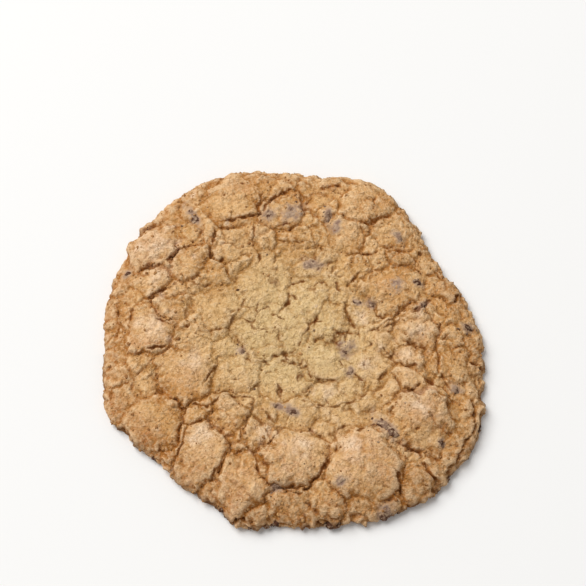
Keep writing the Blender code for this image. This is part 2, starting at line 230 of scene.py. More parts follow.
def relief(x, y, plates):
    """The height of the plates and lumps over the plain dough, with the distance to the nearest
    crack, its boldness and the half width of the plate.
    """
    gap, rise, boldness, half_width, shows = cracked(x, y, plates)
    share = np.hypot(x, y) / outline(np.arctan2(y, x))
    boldness = boldness * (1 - MIDDLE_CALM * smooth_step(*MIDDLE_CALM_FROM_TO, share))
    shoulder = 1 - np.sqrt(1 - (1 - np.clip(gap / SHOULDER, 0, 1)) ** 2)
    dome = 1 - np.sqrt(1 - (1 - np.clip(gap / half_width, 0, 1)) ** 2)
    height = rise * (1 - boldness * (DOME_SHARE * dome + (1 - DOME_SHARE) * shows * shoulder))
    boldness = boldness * shows
    for lump, size, seed in LUMPS:
        height = height + lump * flat_noise(x, y, size, seed)
    height = height * (1 - EDGE_CALM * smooth_step(*EDGE_CALM_FROM_TO, share))
    return height, gap, boldness, half_width


def thickness(share):
    """The plain dough's thickness at a share of the way from the middle to the edge."""
    ring = RING_EXTRA * np.exp(-(((share - RING_AT) / RING_SPREAD) ** 2))
    return CENTRE_THICKNESS + ring - RIM_DROP * smooth_step(RIM_DROP_FROM, 1, share)


# The fine mesh: rings of corners from the middle of the top outwards, over the edge, under the
# tuck and back to the middle of the base. A ring of the top has six corners more than the last.
TOP_RINGS = 152
EDGE_RINGS = 15
TUCK_RINGS = 5
BASE_RINGS = 46

angle_rings, radius_rings, tilt_rings = [], [], []
for ring in range(TOP_RINGS + 1):
    ring_angle = np.linspace(0, math.tau, max(1, 6 * ring), endpoint=False)
    angle_rings.append(ring_angle)
    radius_rings.append(ring / TOP_RINGS * (outline(ring_angle) - EDGE_WIDTH))
    tilt_rings.append(np.zeros_like(ring_angle))
for ring in range(1, EDGE_RINGS + 1):
    tilt = math.pi / 2 * ring / EDGE_RINGS
    angle_rings.append(ring_angle)
    radius_rings.append(outline(ring_angle) - EDGE_WIDTH * (1 - math.sin(tilt)))
    tilt_rings.append(np.full_like(ring_angle, tilt))
for ring in range(1, TUCK_RINGS + 1):
    tilt = math.pi / 2 * (1 + ring / TUCK_RINGS)
    angle_rings.append(ring_angle)
    radius_rings.append(outline(ring_angle) - BASE_INSET * (1 - math.sin(tilt)))
    tilt_rings.append(np.full_like(ring_angle, tilt))
for ring in reversed(range(BASE_RINGS)):
    ring_angle = np.linspace(0, math.tau, max(1, 6 * ring), endpoint=False)
    angle_rings.append(ring_angle)
    radius_rings.append(ring / BASE_RINGS * (outline(ring_angle) - BASE_INSET))
    tilt_rings.append(np.full_like(ring_angle, math.pi))


def stitch(inner, outer):
    """Triangles between two rings of corners that run the same way round."""
    faces = []
    i = j = 0
    while i < len(inner) or j < len(outer):
        if j * len(inner) <= i * len(outer) and j < len(outer):
            faces.append((inner[i % len(inner)], outer[j], outer[(j + 1) % len(outer)]))
            j += 1
        else:
            faces.append((inner[i], outer[j % len(outer)], inner[(i + 1) % len(inner)]))
            i += 1
    return [face for face in faces if len(set(face)) == 3]


ends = np.cumsum([0] + [len(ring) for ring in angle_rings])
rings = [list(range(start, end)) for start, end in zip(ends, ends[1:])]
faces = np.array([face for inner, outer in zip(rings, rings[1:]) for face in stitch(inner, outer)])
radius, angle, tilt = map(np.concatenate, (radius_rings, angle_rings, tilt_rings))

# The plain dough, and the way its crust faces
plates = all_plates()
x, y = radius * np.cos(angle), radius * np.sin(angle)
edge = outline(angle)
body = np.where(tilt > math.pi / 2, WIDEST_AT, thickness(radius / edge) - WIDEST_AT)
z = WIDEST_AT + body * np.cos(tilt)
plain = np.stack([x, y, z], axis=1)
facing = np.stack(
    [np.sin(tilt) * np.cos(angle), np.sin(tilt) * np.sin(angle), np.cos(tilt)], axis=1
)

# The crust's finer forms. Cracks wobble round the clods of dough beside them, and only stretches
# of them gape as a groove. Clods are round lumps with sharp creases between them.
WOBBLES = ((0.55 * MM, 2.1 * MM, 61), (0.28 * MM, 0.9 * MM, 62))
GROOVE_DEPTH, GROOVE_WIDTH = 0.45 * MM, 0.24 * MM
GAPING_SIZE, GAPING_SEED, LEAST_GAPING = 3.6 * MM, 63, 0.3
CRAZING_SIZE, CRAZING_SEED = 5.2 * MM, 64
CRAZING_DEPTH, CRAZING_WIDTH = 0.32 * MM, 0.17 * MM
CRAZING_WOBBLES = ((1.6 * MM, 3.6 * MM, 65), (0.5 * MM, 1.1 * MM, 66))
CRAZING_PATCHES, LEAST_CRAZED = (4.0 * MM, 67), 0.45
# Small swellings between the fine cracks, which the largest plates have not
PILLOW_DEPTH, PILLOW_SHOULDER = 0.50 * MM, 1.6 * MM
PILLOWS_ON = (6.8 * MM, 5.2 * MM)
# The crust is flaky, with small steps between its flakes. Each kind of flake or clod is its
# size, height and seed.
FLAKES = ((3.0 * MM, 0.36 * MM, 84), (1.5 * MM, 0.20 * MM, 85))
FLAKE_WOBBLES = ((1.1 * MM, 2.6 * MM, 86), (0.35 * MM, 0.8 * MM, 87))
CLODS = ((4.6 * MM, 0.34 * MM, 68), (1.9 * MM, 0.13 * MM, 69), (0.90 * MM, 0.12 * MM, 70))
# Wrinkles stand up as thin ridges.
WRINKLE_SIZE, WRINKLE_HEIGHT, WRINKLE_SEED = 2.4 * MM, 0.24 * MM, 79
CREASES_BELOW = 0.3
GRAIN_HEIGHT, GRAIN_WIDTH, GRAIN_SEED = 0.10 * MM, 0.60 * MM, 71
PORE_SPACING, PORE_DEPTH, PORE_SEED = 2.0 * MM, 0.45 * MM, 72
PORE_RADIUS, LEAST_PORE_RADIUS, PORES_FROM = 0.42 * MM, 0.01 * MM, 0.79

# Where the crust is rim, underside or calm middle, each from 0 to 1
RIM_FROM_TO, RIM_ENDS = (0.80, 0.98), (math.pi, 0.6 * math.pi)
UNDER_FROM_TO = (0.55 * math.pi, math.pi)
share = radius / edge
rim = smooth_step(*RIM_FROM_TO, share) * smooth_step(*RIM_ENDS, tilt)
under = smooth_step(*UNDER_FROM_TO, tilt)
calm = smooth_step(*MIDDLE_CALM_FROM_TO, share)


def wobbled(points, wobbles):
    """Points moved sideways by noise."""
    moved = points.copy()
    for reach, size, seed in wobbles:
        for axis in (0, 1):
            moved[:, axis] += reach * noise(points, size, seed + 100 * (axis + 1))
    return moved


wobbly = wobbled(plain, WOBBLES)
height, gap, boldness, half_width = relief(wobbly[:, 0], wobbly[:, 1], plates)
gaping = smooth_step(-0.10, 0.40, noise(plain, GAPING_SIZE, GAPING_SEED))
groove = bump(GROOVE_WIDTH, gap) * boldness * (LEAST_GAPING + (1 - LEAST_GAPING) * gaping)

# The tears that show: each runs from one x and y to another, and bows to its left by the last
# number, in mm. Deep ones gape and are browned inside, fine ones are thin lines.
DEEP_TEARS_MM = (
    (-20.8, 20.3, -19.6, 29, 0.3), (-19.3, 30.2, -8.4, 32.8, 0.2), (-8, 33, 0.5, 40.3, 1.8),
    (-38.3, 18.2, -31.8, 19.8, -0.4), (-31.8, 19.8, -28.5, 23.6, -0.6),
    (-36, -2.9, -30.2, -2.4, -0.3), (22.3, 23.9, 25.2, 23.7, -0.3), (25.4, 22.4, 27.2, 22.6, 0.1),
    (31.2, 23, 32.5, 22.6, 0), (28.6, 6.4, 33.9, 10.3, -0.3), (29, 5.9, 33.7, 9.6, -0.3),
    (20.3, -12, 23.3, -7.8, 0),
    (23.8, -14.6, 30.6, -11.8, -0.7), (42.3, -15, 42.5, -24, 0.7), (42.4, -24, 38.2, -31.4, -0.5),
    (24.8, -26, 30, -29.6, 0.3), (30, -30.5, 34, -36, 0.2), (24.6, -33.4, 25.4, -38.2, -0.4),
    (8.7, -30, 2.2, -38, 0.3), (2, -38.1, -5.3, -36.3, 0.3), (-25.3, -21.5, -28.5, -31, 0.4),
    (-24.5, -16.3, -19.9, -17.5, -0.3), (-20, -41, -9, -44.3, -0.5), (-8.6, -30, -7.3, -35, -0.4),
    (39.7, 8.8, 40.4, 11.6, 0), (42.5, -5.5, 46.6, -7.6, 0.2), (32, -10.9, 33.6, -11.6, 0),
    (-5.3, -36.3, -7.6, -34.7, 0), (6.6, 40.5, 12.5, 42.4, -0.3),
)
FINE_TEARS_MM = (
    (-40.2, 27.5, -30.4, 29.4, 2.6), (-34.3, 6, -29.2, 3.6, -1), (-36, 10.3, -31, 12.7, 0.1),
    (-39.8, 8.2, -40.7, 0.5, 0.3), (-43.8, 10, -43.3, -1, 0.6), (-24, 1.2, -15.8, 3, -0.5),
    (-15.8, 3, -12.2, 10.2, -0.3), (-29.5, 1, -24, 3.6, 0.3), (-27, 14.6, -20.3, 14, -0.5),
    (-3.8, 6, -0.9, 13, -0.7), (-1.8, 13.2, 3.4, 15, 0.3), (-4.3, 25.6, 5, 25.3, -0.4),
    (12.8, 21.7, 21.8, 22.4, -0.5), (9.7, 14.8, 12.3, 11.6, -0.3), (12.8, 12.7, 16.4, 17.2, 0),
    (12.3, 9.5, 15.2, 2.6, -0.4), (1.8, -0.5, 6.5, 5.6, 0.5), (20.3, 1.6, 27.8, 5.6, -0.4),
    (34.5, 1, 34.7, -9.5, 0.2), (26, -1, 33, -3, -0.4), (25.5, -7.5, 31.5, -7.6, 0),
    (34.8, 18.5, 37.8, 12.5, 0.8), (32.6, -19.5, 37.8, -23.9, -1.2), (19.8, -40.2, 25, -38.8, 0.2),
    (14.6, -23.4, 20, -22, 0), (10.2, -24, 9.4, -29, 0.2), (4.7, -10.2, 10.8, -10.4, -0.9),
    (1.5, -15.5, 8, -17.4, -0.4), (8, -17.4, 18.6, -13, -1.2), (-17.9, -4.8, -22.3, -12.8, 0.4),
    (-19.9, -17.5, -17.4, -15, 0), (-17.8, -15, -10, -15.2, 0.2), (-16.5, -30.5, -19.8, -35.2, 0),
    (-9.9, -17.5, -12.2, -25.5, 0), (-12, -26, -16, -26.8, 0.2), (-9, -17.6, -4.3, -21.5, 0.2),
    (-3.8, -22, -7, -27.4, 0.9), (-10.8, -27, -8.6, -30, 0), (-3.8, 6, -5.6, 6.2, 0),
    (-3.9, 2.3, -3, -3.5, 0.3), (-3, -3.5, -0.5, -4.9, -0.2), (1.8, -0.5, 1.5, -2.5, 0),
    (5.3, -0.7, 7.3, -0.2, 0), (11.5, 1.3, 16.7, 0.8, 0.2), (-12.2, -5.2, -10, -6.5, 0),
    (-10, -6.5, -5.3, -5.6, 0), (-5.3, -5.4, -2.9, -4.2, 0), (-4, -6.3, 1, -6.8, 0.1),
    (1, -6.6, 4.6, -10.5, 0.8), (-4.2, -11.5, -2.8, -15.5, 0), (2.5, -14.5, 4.2, -12.3, 0),
    (14, -8, 16.3, -11.8, 0), (17.1, -5.2, 17, -7.5, 0), (-12.7, 11.1, -11.1, 12.1, 0.2),
    (-6.3, 18.2, -3.4, 17.3, 0), (-5, 19.8, -4.2, 20.8, 0), (5, 13.8, 8.2, 14, 0.1),
    (-15.3, 1.8, -10.3, -6.3, 0.3), (-4.5, 29, -0.3, 30.4, 0.3), (-9.7, 29.8, -9.9, 24, 0),
    (-10.3, 24, -8.4, 19.5, 0.6), (-13.8, 21.3, -12, 22.3, 0), (-16.8, 18.5, -13.3, 13.2, -0.8),
    (-25, 22.2, -23.5, 22.8, 0), (5.5, 17.7, 10, 19.8, 0.4), (20, 34, 20.8, 38.5, 0),
    (17, 29.5, 17.3, 27, 0), (4.3, 37.7, 3.1, 36.1, 0.3), (30.4, 21.3, 30.2, 20, 0),
    (28.3, 6, 17.6, 0.6, -0.3), (21, -2.5, 25, -7.2, 0.4), (35, -9, 38, -13.5, 0),
    (36, -0.5, 37.6, 0.6, 0), (20.2, 6, 22.6, 4.8, 0), (31, -27, 33, -29, 0.2),
    (1.5, -20.6, 6.7, -24.9, -0.4), (10.2, -24, 13.5, -22, 0.4), (2, -40.3, 7, -43, 0),
    (7, -43, 11.6, -44.3, 0.2), (22.4, -19.6, 23.9, -17.9, 0), (-10, -15, -9.8, -19, 0),
    (-31.8, -26, -31, -29, 0), (-33, -7.3, -31, -8.1, 0), (-26.3, -3.3, -24.5, -2.7, 0),
)
DEEP_TEAR_DEPTH, DEEP_TEAR_WIDTH, DEEP_TEAR_LIP = 0.78 * MM, 0.33 * MM, 0.20 * MM
FINE_TEAR_DEPTH, FINE_TEAR_WIDTH, FINE_TEAR_LIP = 0.48 * MM, 0.28 * MM, 0.14 * MM
LIP_WIDTH, LIP_STEP = 1.3 * MM, 0.1 * MM
LIP_FACES = Vector((-0.6, 0.8))


def torn(x, y, tears, width, gaping):
    """How near each point is to the middle of a tear, from 0 to 1, how near it is to the side of a
    tear, where the crust is painted brown and, in part, painted with shade, and how much of a curled
    lip there is. A tear gapes only in places.
    """
    open_here, browned, lip = np.zeros((3, len(x)))
    for tear in tears:
        x1, y1, x2, y2, bow = (value * MM for value in tear)
        length = math.hypot(x2 - x1, y2 - y1)
        ahead_x, ahead_y = (x2 - x1) / length, (y2 - y1) / length
        along = (x - x1) * ahead_x + (y - y1) * ahead_y
        part = np.clip(along / length, 0, 1)
        aside = (y - y1) * ahead_x - (x - x1) * ahead_y - 4 * bow * part * (1 - part)
        reach = np.hypot(aside, along - part * length)
        taper = np.sqrt(1 - (2 * part - 1) ** 4)
        open_here = np.maximum(open_here, taper * gaping * bump(width * gaping, reach))
        browned = np.maximum(browned, taper * bump(LIP_WIDTH, reach))
        left_faces = LIP_FACES.x * -ahead_y + LIP_FACES.y * ahead_x
        raised = smooth_step(-LIP_STEP, LIP_STEP, aside * math.copysign(1, left_faces))
        lip = np.maximum(lip, taper * abs(left_faces) * raised * bump(LIP_WIDTH, reach))
    return open_here, browned, lip


TEAR_GAPING_SIZE, TEAR_GAPING_SEED = 1.5 * MM, 88
LEAST_BROKEN, MOST_BROKEN = 0.60, 1.15
broken = smooth_step(-0.3, 0.35, noise(plain, TEAR_GAPING_SIZE, TEAR_GAPING_SEED))
broken = LEAST_BROKEN + (MOST_BROKEN - LEAST_BROKEN) * broken
deep_tear, near_deep_tear, deep_lip = torn(
    wobbly[:, 0], wobbly[:, 1], DEEP_TEARS_MM, DEEP_TEAR_WIDTH, broken
)
fine_tear, near_fine_tear, fine_lip = torn(
    wobbly[:, 0], wobbly[:, 1], FINE_TEARS_MM, FINE_TEAR_WIDTH, broken
)

# The chocolate that shows, each as x and y of its middle, its length and width, in mm, the
# direction of its length in degrees, and how far it bloomed pale, from 0 to 1. Some of it melted
# into the dough round it.
CHIPS_MM = (
    (-6.3, 32.6, 3.2, 2.8, 60, 0.45), (-0.5, 33.2, 5.2, 3.4, 35, 0.8),
    (-25.4, 32.6, 5.6, 1.7, 120, 0.45), (8.7, 32.4, 4, 1.4, 88, 0.35),
    (10.6, 29, 2.8, 2.3, 100, 0.9), (4.5, 19.4, 3.8, 2.5, 170, 0.85),
    (26.3, 26.8, 3, 1.9, 130, 0.7), (-41.6, 17.3, 1.9, 1.4, 40, 0.1), (25.2, 13, 2.8, 2.6, 60, 0.8),
    (30.6, 14.3, 2.2, 1.7, 160, 0.15), (15.5, 9.2, 2.1, 1.5, 165, 0.6),
    (18.9, 8.6, 2, 1.6, 110, 0.45), (42.7, 3, 2.6, 1.6, 160, 0), (31.6, 8, 3.2, 1.5, 40, 0.05),
    (13, -3, 3.7, 3, 75, 0.45), (13.5, -8.8, 2.3, 1.8, 60, 0.55), (-12.4, -3.6, 2.3, 1.6, 140, 0.3),
    (39, -13, 2.5, 1.9, 150, 0.5), (-4, -17.3, 2.4, 1.3, 170, 0.7),
    (-0.3, -18.8, 3.3, 1.8, 150, 0.15), (22.2, -22.8, 6.4, 2.3, 133, 0.25),
    (35, -26.3, 1.8, 1.4, 90, 0.4), (10.8, -35.5, 2.5, 1.8, 10, 0.55),
    (-4, -37, 2.3, 1.7, 150, 0.2), (21.3, -42, 3.6, 2.4, 60, 0.3),
)
SMEAR_FROM_TO = (2.1, 0.4)
SMEAR_RAGGED, SMEAR_RAGS = 0.7, (1.5 * MM, 81)
smear = np.zeros(len(x))
ragged = SMEAR_RAGGED * noise(plain, *SMEAR_RAGS)
for chip_x, chip_y, length, width, turn, _bloom in CHIPS_MM:
    turn = math.radians(turn)
    along = (x - chip_x * MM) * math.cos(turn) + (y - chip_y * MM) * math.sin(turn)
    across = (y - chip_y * MM) * math.cos(turn) - (x - chip_x * MM) * math.sin(turn)
    reach = 2 * np.hypot(along / length, across / width) / MM
    smear = np.maximum(smear, smooth_step(*SMEAR_FROM_TO, reach + ragged))

# Pits where steam broke through, each as its x, y and radius in mm
PITS_MM = (
    (-29.3, 13.8, 0.55), (-17.9, 20.3, 0.45), (-26.7, 23, 0.4), (-21.2, 32.8, 0.45),
    (-30.2, 27.9, 0.4), (19, -1.5, 0.4), (25.3, -15.8, 0.5), (29, -23, 0.4), (-22, -20.8, 0.45),
    (-17.5, -21, 0.4), (-17, -23.5, 0.4), (24.7, -33.8, 0.55), (-13, 42, 0.45), (-20, 20.6, 0.5),
)
PIT_DEPTH = 0.5 * MM
pits_open = np.zeros(len(x))
for pit_x, pit_y, pit_radius in PITS_MM:
    reach = np.hypot(wobbly[:, 0] - pit_x * MM, wobbly[:, 1] - pit_y * MM)
    pits_open = np.maximum(pits_open, bump(pit_radius * MM, reach))

crazing_at = wobbled(plain, CRAZING_WOBBLES)
first, second, _own = nearest_cells(crazing_at, CRAZING_SIZE, CRAZING_SEED)
crazed = smooth_step(0.0, 0.5, noise(plain, *CRAZING_PATCHES))
crazed = crazed * (LEAST_CRAZED + (1 - LEAST_CRAZED) * calm)
crazing = bump(CRAZING_WIDTH, (second - first) / 2) * crazed * (1 - under)
pillow = np.sqrt(1 - (1 - np.clip((second - first) / (2 * PILLOW_SHOULDER), 0, 1)) ** 2)

first, _second, own = nearest_cells(plain, PORE_SPACING, PORE_SEED)
pore_radius = PORE_RADIUS * smooth_step(PORES_FROM, 1, own) + LEAST_PORE_RADIUS
pores = smooth_step(pore_radius, 0.4 * pore_radius, first)

# How rough the crust is: more so away from the middle and in patches, less so on the rim, on the
# largest plates and where chocolate melted into it
MIDDLE_ROUGHNESS, OUTER_EXTRA, RIM_LESS = 0.6, 0.20, 0.4
LARGE_PLATES, LARGE_LESS = (5.5 * MM, 7.5 * MM), 0.3
ROUGH_PATCHES, PATCH_SHARE = (8.0 * MM, 98), 0.65
SMEAR_LESS = 0.6
roughness = MIDDLE_ROUGHNESS + OUTER_EXTRA * smooth_step(0.2, 0.7, share) - RIM_LESS * rim
roughness = roughness * (1 - LARGE_LESS * smooth_step(*LARGE_PLATES, half_width))
patches = smooth_step(-0.3, 0.4, noise(plain, *ROUGH_PATCHES))
roughness = roughness * (PATCH_SHARE + PATCH_SHARE * patches)
roughness = roughness * (1 - SMEAR_LESS * smear)
fine = -GROOVE_DEPTH * groove - CRAZING_DEPTH * crazing - PORE_DEPTH * pores
fine = fine - DEEP_TEAR_DEPTH * deep_tear - FINE_TEAR_DEPTH * fine_tear
fine = fine - PIT_DEPTH * pits_open
fine = fine + DEEP_TEAR_LIP * deep_lip + FINE_TEAR_LIP * fine_lip
fine = fine - PILLOW_DEPTH * (1 - pillow) * (1 - calm) * smooth_step(*PILLOWS_ON, half_width)
flaky = wobbled(plain, FLAKE_WOBBLES)
for size, step, seed in FLAKES:
    _first, _second, own = nearest_cells(flaky, size, seed)
    fine = fine + roughness * step * (own - 0.5)
for size, clod_height, seed in CLODS:
    fine = fine + roughness * clod_height * (np.abs(noise(wobbly, size, seed)) - CREASES_BELOW)
ridges = CREASES_BELOW - np.abs(noise(wobbly, WRINKLE_SIZE, WRINKLE_SEED))
fine = fine + roughness * WRINKLE_HEIGHT * ridges
fine = fine + GRAIN_HEIGHT * noise(plain, GRAIN_WIDTH, GRAIN_SEED)

# The rim crumbles: dry crumbs stand out of it and small notches are broken away.
CRUMBLE_HEIGHT, CRUMBLE_SIZE, CRUMBLE_SEED = 0.5 * MM, 1.3 * MM, 75
CRUMBLE_PATCHES, LEAST_CRUMBLE = (7.0 * MM, 78), 0.4
NOTCH_DEPTH, NOTCH_SIZE, NOTCH_SEED = 1.2 * MM, 4.0 * MM, 76
crumble = CRUMBLE_HEIGHT * noise(plain, CRUMBLE_SIZE, CRUMBLE_SEED)
crumble = crumble * (LEAST_CRUMBLE + smooth_step(-0.2, 0.3, noise(plain, *CRUMBLE_PATCHES)))
notch = NOTCH_DEPTH * smooth_step(0.25, 0.65, noise(plain, NOTCH_SIZE, NOTCH_SEED))
fine = fine + rim * np.sin(tilt) * (crumble - notch)

# The base lies flat: it has only pits, and nothing below the sheet that it baked on.
BASE_PIT_DEPTH, BASE_PIT_SIZE, BASE_PIT_SEED = 0.35 * MM, 1.6 * MM, 77
pits = BASE_PIT_DEPTH * smooth_step(0.1, 0.7, noise(plain, BASE_PIT_SIZE, BASE_PIT_SEED))
rise = np.where(tilt > 0.95 * math.pi, -pits, (height + fine) * np.sqrt(1 - under))
points = plain + rise[:, None] * facing
points[:, 2] = points[:, 2].clip(0)

# The cookie's own middle is the middle of its outline with the plates on.
round_angle = np.linspace(0, math.tau, 720, endpoint=False)
round_radius = outline(round_angle)
round_x, round_y = round_radius * np.cos(round_angle), round_radius * np.sin(round_angle)
round_height = relief(round_x, round_y, plates)[0]
round_x = round_x + round_height * np.cos(round_angle)
round_y = round_y + round_height * np.sin(round_angle)
middle = np.array([
    (round_x.max() + round_x.min()) / 2,
    (round_y.max() + round_y.min()) / 2,
    0,
])


def smoothed(values, sides, rounds):
    """Values of corners, averaged with their neighbours' a number of times."""
    neighbours = np.bincount(sides.ravel(), minlength=len(values))
    for _ in range(rounds):
        total = np.zeros_like(values)
        for column in range(values.shape[1]):
            total[:, column] = np.bincount(
                sides[:, 0], values[sides[:, 1], column], len(values)
            ) + np.bincount(sides[:, 1], values[sides[:, 0], column], len(values))
        values = (values + total) / (neighbours + 1)[:, None]
    return values


sides = np.sort(np.concatenate([faces[:, [0, 1]], faces[:, [1, 2]], faces[:, [2, 0]]]), axis=1)
sides = np.unique(sides, axis=0)
# How far each corner lies below its smoothed neighbours, as a share of HOLLOW_SCALE: above 0 in
# hollows, below 0 on ridges. The colours paint shade into the hollows and a highlight on the ridges.
HOLLOW_SCALE = 0.30 * MM
HOLLOW_ROUNDS = 10
sunk = ((smoothed(points, sides, HOLLOW_ROUNDS) - points) * facing).sum(axis=1) / HOLLOW_SCALE


def add_piece(name, corners, faces, measures):
    """Adds a piece as a smooth mesh, with its measures kept at the corners."""
    mesh = bpy.data.meshes.new(name)
    mesh.from_pydata(corners.tolist(), [], faces.tolist())
    mesh.shade_smooth()
    for measure, values in measures.items():
        attribute = mesh.attributes.new(measure, "FLOAT", "POINT")
        attribute.data.foreach_set("value", values.astype(np.float32))
    piece = bpy.data.objects.new(name, mesh)
    bpy.context.scene.collection.objects.link(piece)
    return piece


# The tops of some plates are pale, partly from fine sugar dried on them and partly as a painted
# highlight. Each is x, y and radius in mm.
PALE_TOPS_MM = (
    (-34.8, 23.6, 3.6), (-33.8, 15.6, 2.2), (-34, 2.2, 3), (-7, -24, 2.2), (-21, -24.6, 2.2),
    (14, -27, 2.4), (30, -18, 2.2), (31, 1.5, 2.2), (27, -4.5, 1.6), (17, 6, 1.6), (17.5, -7, 1.8),
    (8.5, -14, 1.4), (-23.5, -7, 2), (2, -27, 2.2),
)
PALE_RAGGED, PALE_RAGS = 0.8, (2.2 * MM, 80)
pale = np.zeros(len(x))
ragged = 1 + PALE_RAGGED * noise(plain, *PALE_RAGS)
for pale_x, pale_y, pale_radius in PALE_TOPS_MM:
    reach = np.hypot(x - pale_x * MM, y - pale_y * MM)
    pale = np.maximum(pale, bump(pale_radius * MM, reach * ragged))
# The rim is painted darker towards one side, the front left: painted shade that evens out the
# lamp's light along the rim.
RIM_SHADE_SIDE = math.radians(215)
# Its foot, nearest the sheet, is darker in patches, most of all at the front: partly scorched,
# partly a painted shadow along the bottom of the edge.
FOOT_FROM_TO, FOOT_PATCHES = (0.22 * math.pi, 0.46 * math.pi), (3.2 * MM, 82)
DARKEST_FOOT = math.radians(262)
scorch_and_shadow_at_foot = smooth_step(*FOOT_FROM_TO, tilt) * smooth_step(-0.25, 0.2, noise(plain, *FOOT_PATCHES))
scorch_and_shadow_at_foot = scorch_and_shadow_at_foot * (0.6 + 0.4 * np.cos(angle - DARKEST_FOOT))
# How far from a crack its sides are browned, for the coats of colour. These coats also paint
# shade into the valleys and clefts beside the cracks and into the hollows.
VALLEY_WIDTH, TOAST_WIDTH, CLEFT_WIDTH = 1.7 * MM, 1.4 * MM, 0.65 * MM
TOAST_FROM_TO = (0.35, 0.80)
points = points - middle
crust = add_piece("baked_crust", points, faces, {
    "crack": np.maximum.reduce([
        0.8 * bump(GROOVE_WIDTH, gap) * boldness * gaping,
        0.85 * crazing, deep_tear, 0.8 * fine_tear, pits_open,
    ]),
    "valley_brown_and_shade": bump(VALLEY_WIDTH, gap) * boldness,
    "cleft_brown_and_shade": np.maximum.reduce([
        0.6 * bump(CLEFT_WIDTH, gap) * np.sqrt(boldness), near_deep_tear**2, 0.85 * near_fine_tear**2,
    ]),
    "scorch_and_shadow_at_foot": scorch_and_shadow_at_foot,
    "sunk": np.clip(sunk, -1, 1),
    "toast_and_shade": smooth_step(*TOAST_FROM_TO, share) * np.maximum.reduce([
        bump(TOAST_WIDTH, gap) * boldness, sunk.clip(0, 1), near_deep_tear, 0.7 * near_fine_tear,
    ]),
    "pore": pores,
    # How high the plates stand, for a painted highlight on the high ones.
    "highlight_by_height": np.clip(height / (2 * MM), 0, 1),
    "pale": pale,
    "share": share,
    "browned_rim_and_side_shade": rim * (0.6 + 0.4 * np.cos(angle - RIM_SHADE_SIDE)),
    "under": under,
    "smear": smear,
})


def linear(hex_colour):
    """An sRGB hex colour as linear red, green and blue, with full opacity."""
    shares = [int(hex_colour[i : i + 2], 16) / 255 for i in (1, 3, 5)]
    return [s / 12.92 if s <= 0.04045 else ((s + 0.055) / 1.055) ** 2.4 for s in shares] + [1]


def add_node(tree, kind, inputs, **settings):
    """Adds a node. An input is a value, or the output of another node."""
    added = tree.nodes.new(kind)
    for name, value in settings.items():
        setattr(added, name, value)
    for name, value in inputs.items():
        if isinstance(value, bpy.types.NodeSocket):
            tree.links.new(value, added.inputs[name])
        else:
            added.inputs[name].default_value = value
    return added


# Baked biscuit crust: matt, dry and sandy. The sugar and flour make fine pale grains with dark
# pores between them, and the rim and cracks are browned. A painted highlight makes the high
# plates palest, and painted shade darkens the hollows and the sides of the cracks.
DOUGH = linear("#D2A065")
# Grains of sugar are about half a millimetre. Flour is too fine to show and is drawn as coarse.
GRAIN_SIZE = 0.42 * MM
FLECK_SIZE = 0.9 * MM
MOTTLE_SIZE = 1.6 * MM
PATCH_SIZE = 9 * MM
CLUSTER_SIZE, CLUSTER_STRAY = 0.85 * MM, 0.5 * MM
HAIRLINE_SPACING = 3.2 * MM
HAIRLINE_STRAY, HAIRLINE_WOBBLE_SIZE = 1.6 * MM, 2.2 * MM

dough = bpy.data.materials.new("baked_biscuit_crust")
dough.use_nodes = True
tree = dough.node_tree
shader = tree.nodes["Principled BSDF"]
place = add_node(tree, "ShaderNodeTexCoord", {}).outputs["Object"]
speckles = {}
for name, size, detail in (
    ("grain", GRAIN_SIZE, 3.0), ("fleck", FLECK_SIZE, 2.0), ("mottle", MOTTLE_SIZE, 2.0),
    ("patches", PATCH_SIZE, 2.0),
):
    inputs = {"Vector": place, "Scale": 1 / size, "Detail": detail}
    speckles[name] = add_node(tree, "ShaderNodeTexNoise", inputs).outputs[0]
inputs = {"Vector": place, "Scale": 1 / HAIRLINE_WOBBLE_SIZE, "Detail": 3.0}
strays = add_node(tree, "ShaderNodeTexNoise", inputs, normalize=False).outputs["Color"]
inputs = {0: strays, 1: (HAIRLINE_STRAY,) * 3, 2: place}
strayed = add_node(tree, "ShaderNodeVectorMath", inputs, operation="MULTIPLY_ADD").outputs[0]
inputs = {"Vector": strayed, "Scale": 1 / HAIRLINE_SPACING}
hairlines = add_node(tree, "ShaderNodeTexVoronoi", inputs, feature="DISTANCE_TO_EDGE")
speckles["hairline"] = hairlines.outputs["Distance"]

# Round grains of sugar and flour lie packed in the crust, with dark creases between them.
inputs = {0: strays, 1: (CLUSTER_STRAY,) * 3, 2: place}
strayed = add_node(tree, "ShaderNodeVectorMath", inputs, operation="MULTIPLY_ADD").outputs[0]
inputs = {"Vector": strayed, "Scale": 1 / CLUSTER_SIZE}
clusters = add_node(tree, "ShaderNodeTexVoronoi", inputs)
speckles["crease"] = clusters.outputs["Distance"]

